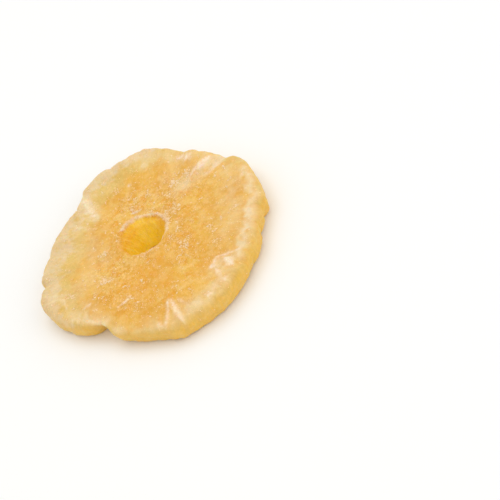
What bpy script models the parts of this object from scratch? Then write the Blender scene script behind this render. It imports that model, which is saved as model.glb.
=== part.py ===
# A ring of candied, dried pineapple, lying flat with its sugared face up.
# It is one solid: a cored slice whose rim keeps the lobes of the fruitlets, with furrows
# between them on both faces, and a hole that narrows towards the base.
# The ring starts as a turned slab, whose points are then moved to the sculpted form.

import math

import bmesh
import bpy

MM = 0.001

# The plain turned slab, in millimetres
THICKNESS = 7.4
RIM_RADIUS = 35.0
HOLE_RADIUS = 7.0
RIM_TOP_ROUND = 2.1
RIM_BASE_ROUND = 1.6
HOLE_TOP_ROUND = 0.9
HOLE_BASE_ROUND = 0.7

# How finely the slab is divided
RAYS = 160
FACE_POINTS = 13
BASE_POINTS = 8
WALL_POINTS = 1
RIM_ARC_POINTS = 3
HOLE_ARC_POINTS = 2

# One lobe for each furrow, counter-clockwise from above, in millimetres and degrees:
# angle of the furrow, rim radius there, how far the rim swells before the next furrow,
# share of the lobe at which it swells most, furrow depth, share of the face left uncut
LOBES = (
    (20.0, 33.3, -0.1, 0.50, 0.45, 0.50),
    (46.0, 32.6, -0.2, 0.45, 0.60, 0.66),
    (70.0, 37.9, -0.9, 0.60, 0.25, 0.80),
    (88.0, 36.9, 1.9, 0.40, 0.45, 0.62),
    (116.0, 31.5, 0.5, 0.35, 1.15, 0.50),
    (169.0, 33.5, 3.5, 0.34, 0.55, 0.66),
    (218.0, 32.4, 0.6, 0.35, 0.30, 0.86),
    (257.0, 38.2, 1.2, 0.42, 0.30, 0.72),
    (301.0, 35.9, 0.4, 0.62, 0.60, 0.64),
    (324.5, 33.9, 1.9, 0.50, 0.30, 0.78),
)
LOBE_BLUNTNESS = 0.7
FURROW_HALF_WIDTH = 1.5
LOBE_CROWN = 0.5
BASE_FURROW_SHARE = 0.8

# Creases and dents of the upper face, in millimetres and degrees:
# from angle and radius to angle and radius, height (below 0 for a dent), half width
CREASES = (
    (28.0, 22.5, 28.5, 31.0, 0.55, 1.1),
    (253.5, 30.0, 250.5, 36.5, 0.40, 0.9),
    (258.5, 29.0, 261.5, 37.5, 0.50, 0.9),
    (303.0, 27.5, 309.0, 33.5, -0.90, 2.0),
    (297.5, 27.0, 300.0, 33.0, 0.45, 1.0),
    (311.5, 29.5, 317.0, 32.5, 0.45, 1.0),
    (176.5, 27.5, 179.0, 35.0, -0.45, 0.9),
    (183.0, 25.0, 187.0, 29.5, 0.35, 1.0),
    (223.0, 24.0, 226.5, 20.5, 0.35, 0.9),
    (205.0, 31.0, 215.0, 28.0, 0.45, 1.5),
)

# The lobe beyond this furrow lies higher, as a flap over the next one
FLAP_ANGLE = 16.5
FLAP_REACH = 40.0
FLAP_HEIGHT = 0.55

# A small tab and a corner that stand out from the rim: angle, half width, length
CORNERS = (
    (164.0, 1.3, 1.1),
    (11.0, 8.0, 1.1),
)
RAGGED_DEPTH = 0.15

# The rim's side tucks in towards the base, more at the front, with a dent and a notch there
TUCK = 0.45
TUCK_SWING = 0.45
TUCK_SWING_ANGLE = 290.0
TUCK_DENT = 1.3
TUCK_DENT_ANGLE = 230.0
TUCK_DENT_HALF_WIDTH = 24.0
NOTCH = 1.2
NOTCH_ANGLE = 217.0
NOTCH_HALF_WIDTH = 4.5
RIM_BULGE = 0.3

# At the front the upper face droops towards the rim
DROOP = 1.1
DROOP_ANGLE = 243.0
DROOP_HALF_WIDTH = 24.0

# The hole at the upper face, and at the base, where it is narrower and nearer the front
HOLE_CENTRE = (-1.5, 1.3)
HOLE_BASE_CENTRE = (-1.5, -1.2)
HOLE_BASE_SHARE = 0.55
HOLE_OVAL = 0.38
HOLE_WAVE = 0.22

# Slow waves of the faces: height, waves across x and y in radians a millimetre, phase
WAVES = (
    (0.20, 0.21, 0.13, 0.7),
    (0.17, -0.16, 0.27, 2.1),
    (0.12, 0.36, 0.09, 4.0),
    (0.08, -0.11, -0.49, 1.2),
)
DISH = 0.35
BASE_WAVE_SHARE = 1.3
BASE_FLAT_LEVEL = 0.22

FLESH_COLOUR = (0.84, 0.50, 0.13, 1.0)
FLESH_ROUGHNESS = 0.42


def smooth_step(low, high, value):
    """0 below low, 1 above high, and an even slope between."""
    share = min(1.0, max(0.0, (value - low) / (high - low)))
    return share * share * (3.0 - 2.0 * share)


def mix(a, b, share):
    return a + (b - a) * share


def bell(value):
    """A smooth bump: 1 at 0, and nothing beyond 3 on either side."""
    return math.exp(-value * value)


def turn(angle, reference):
    """The signed turn from reference to angle, in degrees."""
    return (angle - reference + 180.0) % 360.0 - 180.0


def lobe_at(angle):
    """The lobe that holds the angle, the next one, and the share of the way across."""
    for index, lobe in enumerate(LOBES):
        following = LOBES[(index + 1) % len(LOBES)]
        span = (following[0] - lobe[0]) % 360.0
        inside = (angle - lobe[0]) % 360.0
        if inside < span:
            return lobe, following, inside / span
    raise ValueError("the lobes leave a gap")


def swelling(across, peak):
    """A blunt rise from 0 to 1 and back over a lobe, highest at the share called peak."""
    power = math.log(0.5) / math.log(peak)
    return math.sin(math.pi * across**power) ** LOBE_BLUNTNESS


def rim_radius(angle, level):
    """Plan radius of the rim at an angle, at a level from 0 at the base to 1 at the top."""
    lobe, following, across = lobe_at(angle)
    radius = mix(lobe[1], following[1], across) + lobe[2] * swelling(across, lobe[3])
    for middle, half_width, length in CORNERS:
        radius += length * bell(turn(angle, middle) / half_width)
    tuck = TUCK + TUCK_SWING * math.cos(math.radians(angle - TUCK_SWING_ANGLE))
    tuck += TUCK_DENT * bell(turn(angle, TUCK_DENT_ANGLE) / TUCK_DENT_HALF_WIDTH)
    tuck += NOTCH * bell(turn(angle, NOTCH_ANGLE) / NOTCH_HALF_WIDTH)
    radius += RIM_BULGE * math.sin(math.pi * level) - tuck * (1.0 - level)
    turned = math.radians(angle)
    ragged = math.sin(23.0 * turned + 1.0) * math.sin(9.0 * turned) + 0.6 * math.sin(37.0 * turned)
    return radius - RAGGED_DEPTH * (1.0 - level) ** 2 * (0.6 + ragged)


def hole_radius(angle, level):
    """Radius of the hole about its own centre, which narrows towards the base."""
    turned = math.radians(angle)
    radius = HOLE_RADIUS + HOLE_OVAL * math.cos(2.0 * turned)
    radius += HOLE_WAVE * math.sin(5.0 * turned + 0.8)
    return radius * mix(HOLE_BASE_SHARE, 1.0, level)


def waves(x, y):
    """Slow swells that both faces share."""
    return sum(height * math.sin(a * x + b * y + phase) for height, a, b, phase in WAVES)


def furrows(angle, outward, radius):
    """Depth of the radial furrows at a point of a face, from 0 at the hole to 1 at the rim."""
    depth = 0.0
    for lobe in LOBES:
        aside = math.radians(turn(angle, lobe[0])) * radius / FURROW_HALF_WIDTH
        if abs(aside) < 3.0:
            depth += lobe[4] * bell(aside) * smooth_step(lobe[5], 1.0, outward)
    return depth


def crown(angle, outward):
    """How far a lobe stands up between its furrows, near the rim."""
    across = lobe_at(angle)[2]
    return LOBE_CROWN * math.sin(math.pi * across) * smooth_step(0.45, 0.85, outward)


def crease_height(x, y):
    """Height that the creases and dents add at a point of the upper face."""
    total = 0.0
    for angle_a, radius_a, angle_b, radius_b, height, half_width in CREASES:
        ax = radius_a * math.cos(math.radians(angle_a))
        ay = radius_a * math.sin(math.radians(angle_a))
        bx = radius_b * math.cos(math.radians(angle_b))
        by = radius_b * math.sin(math.radians(angle_b))
        length_squared = (bx - ax) ** 2 + (by - ay) ** 2
        along = ((x - ax) * (bx - ax) + (y - ay) * (by - ay)) / length_squared
        along = min(1.0, max(0.0, along))
        aside = math.hypot(x - mix(ax, bx, along), y - mix(ay, by, along)) / half_width
        total += height * bell(aside)
    return total


def flap_height(angle, outward):
    """A lobe that ends in a step at its furrow, and sinks back into the face behind it."""
    behind = (FLAP_ANGLE - angle) % 360.0
    if behind > FLAP_REACH:
        return 0.0
    edge = smooth_step(0.0, 2.0, behind)
    return FLAP_HEIGHT * edge * (1.0 - behind / FLAP_REACH) * smooth_step(0.5, 0.8, outward)


def droop_depth(angle, outward):
    """How far the upper face has come down towards the rim at the front."""
    return DROOP * bell(turn(angle, DROOP_ANGLE) / DROOP_HALF_WIDTH) * smooth_step(0.6, 1.0, outward)


def upper_level(x, y, angle, outward, radius):
    """Height of the upper face."""
    level = THICKNESS - DISH * math.sin(math.pi * outward) + waves(x, y) - droop_depth(angle, outward)
    level += crown(angle, outward) + flap_height(angle, outward) + crease_height(x, y)
    return level - furrows(angle, outward, radius)


def base_level(x, y, angle, outward, radius):
    """Height of the underside: flat where it rests, with hollows and furrows above that."""
    level = BASE_WAVE_SHARE * waves(-y, x) - BASE_FLAT_LEVEL
    level += BASE_FURROW_SHARE * furrows(angle, outward, radius)
    return max(0.0, level)


def sculpted(x, y, z):
    """Where a point of the plain slab goes in the real ring, all in millimetres."""
    angle = math.degrees(math.atan2(y, x)) % 360.0
    outward = (math.hypot(x, y) - HOLE_RADIUS) / (RIM_RADIUS - HOLE_RADIUS)
    outward = min(1.0, max(0.0, outward))
    level = min(1.0, max(0.0, z / THICKNESS))
    cosine = math.cos(math.radians(angle))
    sine = math.sin(math.radians(angle))
    hole = hole_radius(angle, level)
    rim = rim_radius(angle, level)
    hole_x = mix(HOLE_BASE_CENTRE[0], HOLE_CENTRE[0], level)
    hole_y = mix(HOLE_BASE_CENTRE[1], HOLE_CENTRE[1], level)
    new_x = mix(hole_x + hole * cosine, rim * cosine, outward)
    new_y = mix(hole_y + hole * sine, rim * sine, outward)
    radius = math.hypot(new_x, new_y)
    top = upper_level(new_x, new_y, angle, outward, radius)
    base = base_level(new_x, new_y, angle, outward, radius)
    return new_x, new_y, mix(base, top, level)


def arc(centre_x, centre_z, radius, start, end, points):
    """Points of a corner's arc, both ends included."""
    found = []
    for index in range(points + 1):
        angle = math.radians(mix(start, end, index / points))
        found.append((centre_x + radius * math.cos(angle), centre_z + radius * math.sin(angle)))
    return found


def between(start, end, points):
    """Points spaced evenly between two ends, which are left out."""
    found = []
    for index in range(1, points + 1):
        share = index / (points + 1)
        found.append((mix(start[0], end[0], share), mix(start[1], end[1], share)))
    return found


def slab_section():
    """The slab's section, from the top of the rim down, in under the base and back over."""
    rim_top = arc(RIM_RADIUS - RIM_TOP_ROUND, THICKNESS - RIM_TOP_ROUND, RIM_TOP_ROUND, 90, 0, RIM_ARC_POINTS)
    rim_base = arc(RIM_RADIUS - RIM_BASE_ROUND, RIM_BASE_ROUND, RIM_BASE_ROUND, 0, -90, RIM_ARC_POINTS)
    hole_base = arc(HOLE_RADIUS + HOLE_BASE_ROUND, HOLE_BASE_ROUND, HOLE_BASE_ROUND, 270, 180, HOLE_ARC_POINTS)
    hole_top = arc(HOLE_RADIUS + HOLE_TOP_ROUND, THICKNESS - HOLE_TOP_ROUND, HOLE_TOP_ROUND, 180, 90, HOLE_ARC_POINTS)
    section = rim_top + between(rim_top[-1], rim_base[0], WALL_POINTS) + rim_base
    section += between(rim_base[-1], hole_base[0], BASE_POINTS) + hole_base
    section += between(hole_base[-1], hole_top[0], WALL_POINTS + 1) + hole_top
    return section + between(hole_top[-1], rim_top[0], FACE_POINTS)


def turned_slab(collection):
    """The plain ring: its section turned once round the upright axis."""
    section = slab_section()
    points = [(x * MM, 0.0, z * MM) for x, z in section]
    edges = [(index, (index + 1) % len(points)) for index in range(len(points))]
    mesh = bpy.data.meshes.new("slab_section")
    mesh.from_pydata(points, edges, [])
    slab = bpy.data.objects.new("slab", mesh)
    collection.objects.link(slab)
    screw = slab.modifiers.new("turn", "SCREW")
    screw.axis = "Z"
    screw.angle = math.tau
    screw.steps = RAYS
    screw.render_steps = RAYS
    screw.use_merge_vertices = True
    screw.merge_threshold = 0.00001
    return slab


def sculpt(slab, collection):
    """A mesh made from the turned slab, with every point moved to its place in the real ring."""
    bpy.context.view_layer.update()
    graph = bpy.context.evaluated_depsgraph_get()
    mesh = bpy.data.meshes.new_from_object(slab.evaluated_get(graph))
    shape = bmesh.new()
    shape.from_mesh(mesh)
    bmesh.ops.remove_doubles(shape, verts=shape.verts, dist=0.001 * MM)
    for vert in shape.verts:
        vert.co = [value * MM for value in sculpted(*(value / MM for value in vert.co))]
    for axis in (0, 1):
        low = min(vert.co[axis] for vert in shape.verts)
        high = max(vert.co[axis] for vert in shape.verts)
        for vert in shape.verts:
            vert.co[axis] -= (low + high) / 2.0
    bmesh.ops.recalc_face_normals(shape, faces=shape.faces)
    bmesh.ops.triangulate(shape, faces=shape.faces)
    shape.to_mesh(mesh)
    shape.free()
    mesh.name = "pineapple_ring"
    ring = bpy.data.objects.new("pineapple_ring", mesh)
    collection.objects.link(ring)
    bpy.data.objects.remove(slab)
    mesh.shade_smooth()
    return ring


def flesh_material():
    """Amber candied flesh with a soft sheen."""
    material = bpy.data.materials.new("candied_flesh")
    material.use_nodes = True
    shader = material.node_tree.nodes["Principled BSDF"]
    shader.inputs["Base Color"].default_value = FLESH_COLOUR
    shader.inputs["Roughness"].default_value = FLESH_ROUGHNESS
    shader.inputs["Metallic"].default_value = 0.0
    return material


def main():
    for old in list(bpy.data.objects):
        bpy.data.objects.remove(old)
    collection = bpy.data.collections.new("dried_pineapple")
    bpy.context.scene.collection.children.link(collection)
    ring = sculpt(turned_slab(collection), collection)
    ring.data.materials.clear()
    ring.data.materials.append(flesh_material())


main()
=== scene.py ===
# The looks of a candied, dried pineapple ring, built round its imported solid.
# The fine ring has the solid's form with fibres, creases and pores added, and wears a coat of
# sugar: a film in the flesh's colour, and grains and dust as meshes of their own.

import itertools
import math

import bpy
import numpy as np
from mathutils import Matrix, Vector


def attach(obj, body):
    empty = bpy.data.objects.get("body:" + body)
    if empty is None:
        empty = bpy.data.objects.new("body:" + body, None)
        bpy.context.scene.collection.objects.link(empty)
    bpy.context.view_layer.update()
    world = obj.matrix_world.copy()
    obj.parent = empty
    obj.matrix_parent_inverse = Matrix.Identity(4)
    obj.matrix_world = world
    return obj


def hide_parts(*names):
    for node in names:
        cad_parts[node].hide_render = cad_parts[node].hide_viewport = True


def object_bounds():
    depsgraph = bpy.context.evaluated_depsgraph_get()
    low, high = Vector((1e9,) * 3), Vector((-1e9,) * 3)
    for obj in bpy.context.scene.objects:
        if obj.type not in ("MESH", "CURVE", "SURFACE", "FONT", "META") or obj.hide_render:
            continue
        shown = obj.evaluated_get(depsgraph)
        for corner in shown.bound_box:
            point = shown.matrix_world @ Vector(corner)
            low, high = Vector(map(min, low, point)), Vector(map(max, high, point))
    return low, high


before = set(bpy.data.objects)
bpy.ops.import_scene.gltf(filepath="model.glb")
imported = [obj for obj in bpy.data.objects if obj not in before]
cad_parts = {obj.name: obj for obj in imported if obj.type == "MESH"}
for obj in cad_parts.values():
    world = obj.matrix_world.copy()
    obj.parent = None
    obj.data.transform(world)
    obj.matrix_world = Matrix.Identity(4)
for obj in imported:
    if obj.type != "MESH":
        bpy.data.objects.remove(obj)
cadLow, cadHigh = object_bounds()
mm = 0.001
ringNode = "pineapple_ring"


# Plain helpers

def smoothStep(low, high, value):
    # 0 below low, 1 above high, and an even slope between
    share = np.clip((value - low) / (high - low), 0.0, 1.0)
    return share * share * (3.0 - 2.0 * share)


def mix(a, b, share):
    return a + (b - a) * share


def bell(value):
    # a smooth bump, e to the power of minus the square: 1 at 0 and nothing beyond 3
    return np.exp(-value * value)


def turnFrom(angle, reference):
    # the signed turn from reference to angle, in degrees
    return (angle - reference + 180.0) % 360.0 - 180.0


def bellAt(angle, middle, halfWidth):
    # a bell at one spot round the ring, in degrees
    return bell(turnFrom(angle, middle) / halfWidth)


# The cells after which the lattice repeats, and the height of a layer by that of the one before
latticeCells = 32
layerFade = 0.55


def latticeNoise(points, cell, seed):
    # random heights from -1 to 1 on a box lattice, blended smoothly between the eight corners
    # round each point
    table = np.random.default_rng(seed).uniform(-1.0, 1.0, (latticeCells,) * 3)
    scaled = points / cell
    low = np.floor(scaled).astype(int)
    share = scaled - low
    share = share * share * (3.0 - 2.0 * share)
    total = np.zeros(points.shape[:-1])
    for corner in np.ndindex(2, 2, 2):
        index = (low + corner) % latticeCells
        weight = np.prod(np.where(corner, share, 1.0 - share), axis=-1)
        total += weight * table[index[..., 0], index[..., 1], index[..., 2]]
    return total


def layeredNoise(points, cell, seed, layers=3):
    # lattice noise, each further layer at half the cell and fading in height
    total = 0.0
    height = 1.0
    for layer in range(layers):
        total = total + height * latticeNoise(points, cell / 2**layer, seed + layer)
        height *= layerFade
    return total


def linearColour(red, green, blue):
    # a screen colour from 0 to 255, as the linear values that shaders take
    def toLinear(value):
        value /= 255.0
        return value / 12.92 if value <= 0.04045 else ((value + 0.055) / 1.055) ** 2.4
    return (toLinear(red), toLinear(green), toLinear(blue), 1.0)


# The ring's form, in millimetres and degrees: the same as the solid's

ringForm = {
    "thickness": 7.4, "rimRadius": 35.0, "holeRadius": 7.0,
    "rimTopRound": 2.1, "rimBaseRound": 1.6, "holeTopRound": 0.9, "holeBaseRound": 0.7,
    # furrow angle, rim radius, swell, share of the swell's peak, furrow depth, face left uncut
    "lobes": np.array([
        (20.0, 33.3, -0.1, 0.50, 0.45, 0.50),
        (46.0, 32.6, -0.2, 0.45, 0.60, 0.66),
        (70.0, 37.9, -0.9, 0.60, 0.25, 0.80),
        (88.0, 36.9, 1.9, 0.40, 0.45, 0.62),
        (116.0, 31.5, 0.5, 0.35, 1.15, 0.50),
        (169.0, 33.5, 3.5, 0.34, 0.55, 0.66),
        (218.0, 32.4, 0.6, 0.35, 0.30, 0.86),
        (257.0, 38.2, 1.2, 0.42, 0.30, 0.72),
        (301.0, 35.9, 0.4, 0.62, 0.60, 0.64),
        (324.5, 33.9, 1.9, 0.50, 0.30, 0.78),
    ]),
    "lobeBluntness": 0.7, "furrowHalfWidth": 1.5, "lobeCrown": 0.5, "baseFurrowShare": 0.8,
    # from angle and radius to angle and radius, height, half width
    "creases": (
        (28.0, 22.5, 28.5, 31.0, 0.55, 1.1),
        (253.5, 30.0, 250.5, 36.5, 0.40, 0.9),
        (258.5, 29.0, 261.5, 37.5, 0.50, 0.9),
        (303.0, 27.5, 309.0, 33.5, -0.90, 2.0),
        (297.5, 27.0, 300.0, 33.0, 0.45, 1.0),
        (311.5, 29.5, 317.0, 32.5, 0.45, 1.0),
        (176.5, 27.5, 179.0, 35.0, -0.45, 0.9),
        (183.0, 25.0, 187.0, 29.5, 0.35, 1.0),
        (223.0, 24.0, 226.5, 20.5, 0.35, 0.9),
        (205.0, 31.0, 215.0, 28.0, 0.45, 1.5),
    ),
    "flapAngle": 16.5, "flapReach": 40.0, "flapHeight": 0.55,
    "corners": ((164.0, 1.3, 1.1), (11.0, 8.0, 1.1)),
    "raggedDepth": 0.15,
    "tuck": 0.45, "tuckSwing": 0.45, "tuckSwingAngle": 290.0,
    "tuckDent": 1.3, "tuckDentAngle": 230.0, "tuckDentHalfWidth": 24.0,
    "notch": 1.2, "notchAngle": 217.0, "notchHalfWidth": 4.5, "rimBulge": 0.3,
    "droop": 1.1, "droopAngle": 243.0, "droopHalfWidth": 24.0,
    "holeCentre": (-1.5, 1.3), "holeBaseCentre": (-1.5, -1.2), "holeBaseShare": 0.55,
    "holeOval": 0.38, "holeWave": 0.22,
    # height, waves across x and y in radians a millimetre, phase
    "waves": ((0.20, 0.21, 0.13, 0.7), (0.17, -0.16, 0.27, 2.1),
              (0.12, 0.36, 0.09, 4.0), (0.08, -0.11, -0.49, 1.2)),
    "dish": 0.35, "baseWaveShare": 1.3, "baseFlatLevel": 0.22,
}

# Small changes of the fine ring's outline: angle, half width, change of the rim's radius
rimTouches = (
    (23.5, 3, 0.3), (40, 2, 0.5), (44.5, 4, 1.1), (60, 3, -0.4), (69.5, 2, 0.5), (76, 2.5, 0.3),
    (84, 5, 0.7), (106, 2.5, 0.9), (108.5, 3.5, -1), (112.5, 2, -0.3), (116, 2.5, 0.9),
    (150, 3, -0.3), (159, 5, 1), (162, 1.4, 0.8), (166.5, 2, 0.6), (170, 2.5, 0.4), (179, 6, 0.6),
    (196, 2.5, -0.4), (217, 4, 0.3), (222.5, 3, -0.5), (228.5, 3, 0.4), (246, 8, -0.6),
    (257, 3, 0.6), (268, 3, -0.5), (272, 4, -0.2), (290, 5, -0.3), (306, 4, -0.4), (326, 7, -0.2),
    (334.5, 2.4, -0.9), (340, 2.5, 0.5), (0, 8, -0.2),
)

# The notch cut up into the wall from below: angle, half width, depth at the base
baseNotch = {"angle": 217.0, "halfWidth": 5.4, "depth": 4.2}

# How finely the ring is divided: rays round it, and points along each stretch of its section
ringGrid = {"rays": 640, "rimArc": 8, "rimWall": 12, "baseFace": 28, "holeArc": 5,
            "holeWall": 12, "upperFace": 77}


def sectionPoints():
    # the slab's section as radius and height, from the top of the rim down and back over
    f, g = ringForm, ringGrid

    def arc(radius, height, size, start, end, points):
        turned = np.radians(np.linspace(start, end, points, endpoint=False))
        return np.stack([radius + size * np.cos(turned), height + size * np.sin(turned)], 1)

    def line(start, end, points):
        return np.linspace(start, end, points, endpoint=False)

    rim, hole, top = f["rimRadius"], f["holeRadius"], f["thickness"]
    rt, rb, ht, hb = f["rimTopRound"], f["rimBaseRound"], f["holeTopRound"], f["holeBaseRound"]
    return np.concatenate([
        arc(rim - rt, top - rt, rt, 90, 0, g["rimArc"]),
        line((rim, top - rt), (rim, rb), g["rimWall"]),
        arc(rim - rb, rb, rb, 0, -90, g["rimArc"]),
        line((rim - rb, 0.0), (hole + hb, 0.0), g["baseFace"]),
        arc(hole + hb, hb, hb, 270, 180, g["holeArc"]),
        line((hole, hb), (hole, top - ht), g["holeWall"]),
        arc(hole + ht, top - ht, ht, 180, 90, g["holeArc"]),
        line((hole + ht, top), (rim - rt, top), g["upperFace"]),
    ])


def lobeShares(angle):
    # which lobe each angle is in, and the share of the way across it
    starts = ringForm["lobes"][:, 0]
    index = (np.searchsorted(starts, angle, side="right") - 1) % len(starts)
    following = (index + 1) % len(starts)
    span = (starts[following] - starts[index]) % 360.0
    return index, following, ((angle - starts[index]) % 360.0) / span


def rimRadius(angle, level):
    # straight between furrows, plus a blunt swell, corners, a tuck towards the base and a bulge
    f = ringForm
    index, following, across = lobeShares(angle)
    lobes = f["lobes"]
    power = np.log(0.5) / np.log(lobes[index, 3])
    swell = np.sin(np.pi * across**power) ** f["lobeBluntness"]
    radius = mix(lobes[index, 1], lobes[following, 1], across) + lobes[index, 2] * swell
    for middle, halfWidth, length in f["corners"]:
        radius = radius + length * bellAt(angle, middle, halfWidth)
    tuck = f["tuck"] + f["tuckSwing"] * np.cos(np.radians(angle - f["tuckSwingAngle"]))
    tuck = tuck + f["tuckDent"] * bellAt(angle, f["tuckDentAngle"], f["tuckDentHalfWidth"])
    tuck = tuck + f["notch"] * bellAt(angle, f["notchAngle"], f["notchHalfWidth"])
    radius = radius + f["rimBulge"] * np.sin(np.pi * level) - tuck * (1.0 - level)
    turned = np.radians(angle)
    ragged = np.sin(23.0 * turned + 1.0) * np.sin(9.0 * turned) + 0.6 * np.sin(37.0 * turned)
    return radius - f["raggedDepth"] * (1.0 - level) ** 2 * (0.6 + ragged)


def holeRadius(angle, level):
    # an oval with five slight waves, which narrows towards the base
    turned = np.radians(angle)
    radius = ringForm["holeRadius"] + ringForm["holeOval"] * np.cos(2.0 * turned)
    radius = radius + ringForm["holeWave"] * np.sin(5.0 * turned + 0.8)
    return radius * mix(ringForm["holeBaseShare"], 1.0, level)


def slowWaves(x, y):
    # level sine waves across the face, added up
    return sum(height * np.sin(a * x + b * y + phase) for height, a, b, phase in ringForm["waves"])


def furrowDepth(angle, outward, radius):
    # a bell across each furrow line, deeper towards the rim
    depth = 0.0
    for lobe in ringForm["lobes"]:
        aside = np.radians(turnFrom(angle, lobe[0])) * radius / ringForm["furrowHalfWidth"]
        depth = depth + lobe[4] * bell(aside) * smoothStep(lobe[5], 1.0, outward)
    return depth


def lineShare(x, y, spots, halfWidth, taper=0.0):
    # 1 on a line through spots given by angle and radius, fading to its sides as a bell; a taper
    # above 0 narrows the line towards both ends
    corners = [(r * math.cos(math.radians(a)), r * math.sin(math.radians(a))) for a, r in spots]
    pieces = list(zip(corners, corners[1:] or corners))
    near = np.full_like(x, 1e9)
    for number, ((ax, ay), (bx, by)) in enumerate(pieces):
        length = max((bx - ax) ** 2 + (by - ay) ** 2, 1e-9)
        along = np.clip(((x - ax) * (bx - ax) + (y - ay) * (by - ay)) / length, 0.0, 1.0)
        middle = np.sin(np.pi * (number + along) / len(pieces))
        width = halfWidth * mix(1.0, 0.25 + 0.75 * middle, taper)
        near = np.minimum(near, np.hypot(x - mix(ax, bx, along), y - mix(ay, by, along)) / width)
    return bell(near)


def upperLevel(x, y, angle, outward, radius):
    # the slab's top, dished, with waves, lobes' crowns, a flap, creases, furrows and a droop
    f = ringForm
    crown = f["lobeCrown"] * np.sin(np.pi * lobeShares(angle)[2]) * smoothStep(0.45, 0.85, outward)
    behind = (f["flapAngle"] - angle) % 360.0
    flap = smoothStep(0.0, 2.0, behind) * (1.0 - behind / f["flapReach"])
    flap = flap * smoothStep(0.5, 0.8, outward)
    flap = np.where(behind > f["flapReach"], 0.0, f["flapHeight"] * flap)
    creases = sum(c[4] * lineShare(x, y, (c[:2], c[2:4]), c[5]) for c in f["creases"])
    droop = f["droop"] * bellAt(angle, f["droopAngle"], f["droopHalfWidth"])
    droop = droop * smoothStep(0.6, 1.0, outward)
    level = f["thickness"] - f["dish"] * np.sin(np.pi * outward) + slowWaves(x, y) - droop
    return level + crown + flap + creases - furrowDepth(angle, outward, radius)


def baseLevel(x, y, angle, outward, radius):
    # flat where it rests, with hollows and furrows above that
    f = ringForm
    level = f["baseWaveShare"] * slowWaves(-y, x) - f["baseFlatLevel"]
    return np.maximum(0.0, level + f["baseFurrowShare"] * furrowDepth(angle, outward, radius))


def ringSurface():
    # every ray of the section, moved to its place in the real ring: (rays, points, 3), and the
    # grids of angle, outward share and level that the finish uses
    f = ringForm
    section = sectionPoints()
    angle = np.linspace(0.0, 360.0, ringGrid["rays"], endpoint=False)[:, None]
    angle = np.broadcast_to(angle, (ringGrid["rays"], len(section)))
    span = f["rimRadius"] - f["holeRadius"]
    outward = np.clip((section[:, 0] - f["holeRadius"]) / span, 0.0, 1.0)
    outward = np.broadcast_to(outward, angle.shape)
    level = np.broadcast_to(np.clip(section[:, 1] / f["thickness"], 0.0, 1.0), angle.shape)
    cosine, sine = np.cos(np.radians(angle)), np.sin(np.radians(angle))
    hole, rim = holeRadius(angle, level), rimRadius(angle, level)
    holeX = mix(f["holeBaseCentre"][0], f["holeCentre"][0], level)
    holeY = mix(f["holeBaseCentre"][1], f["holeCentre"][1], level)
    x = mix(holeX + hole * cosine, rim * cosine, outward)
    y = mix(holeY + hole * sine, rim * sine, outward)
    places = (x, y, angle, outward, np.hypot(x, y))
    z = mix(baseLevel(*places), upperLevel(*places), level)
    return np.stack([x, y, z], -1), angle, outward, level


def surfaceNormals(points):
    # the cross product of the steps round the ring and along its section, made one long
    around = np.roll(points, -1, 0) - np.roll(points, 1, 0)
    along = np.roll(points, -1, 1) - np.roll(points, 1, 1)
    normal = np.cross(along, around)
    return normal / np.maximum(np.linalg.norm(normal, axis=-1, keepdims=True), 1e-9)


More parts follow.
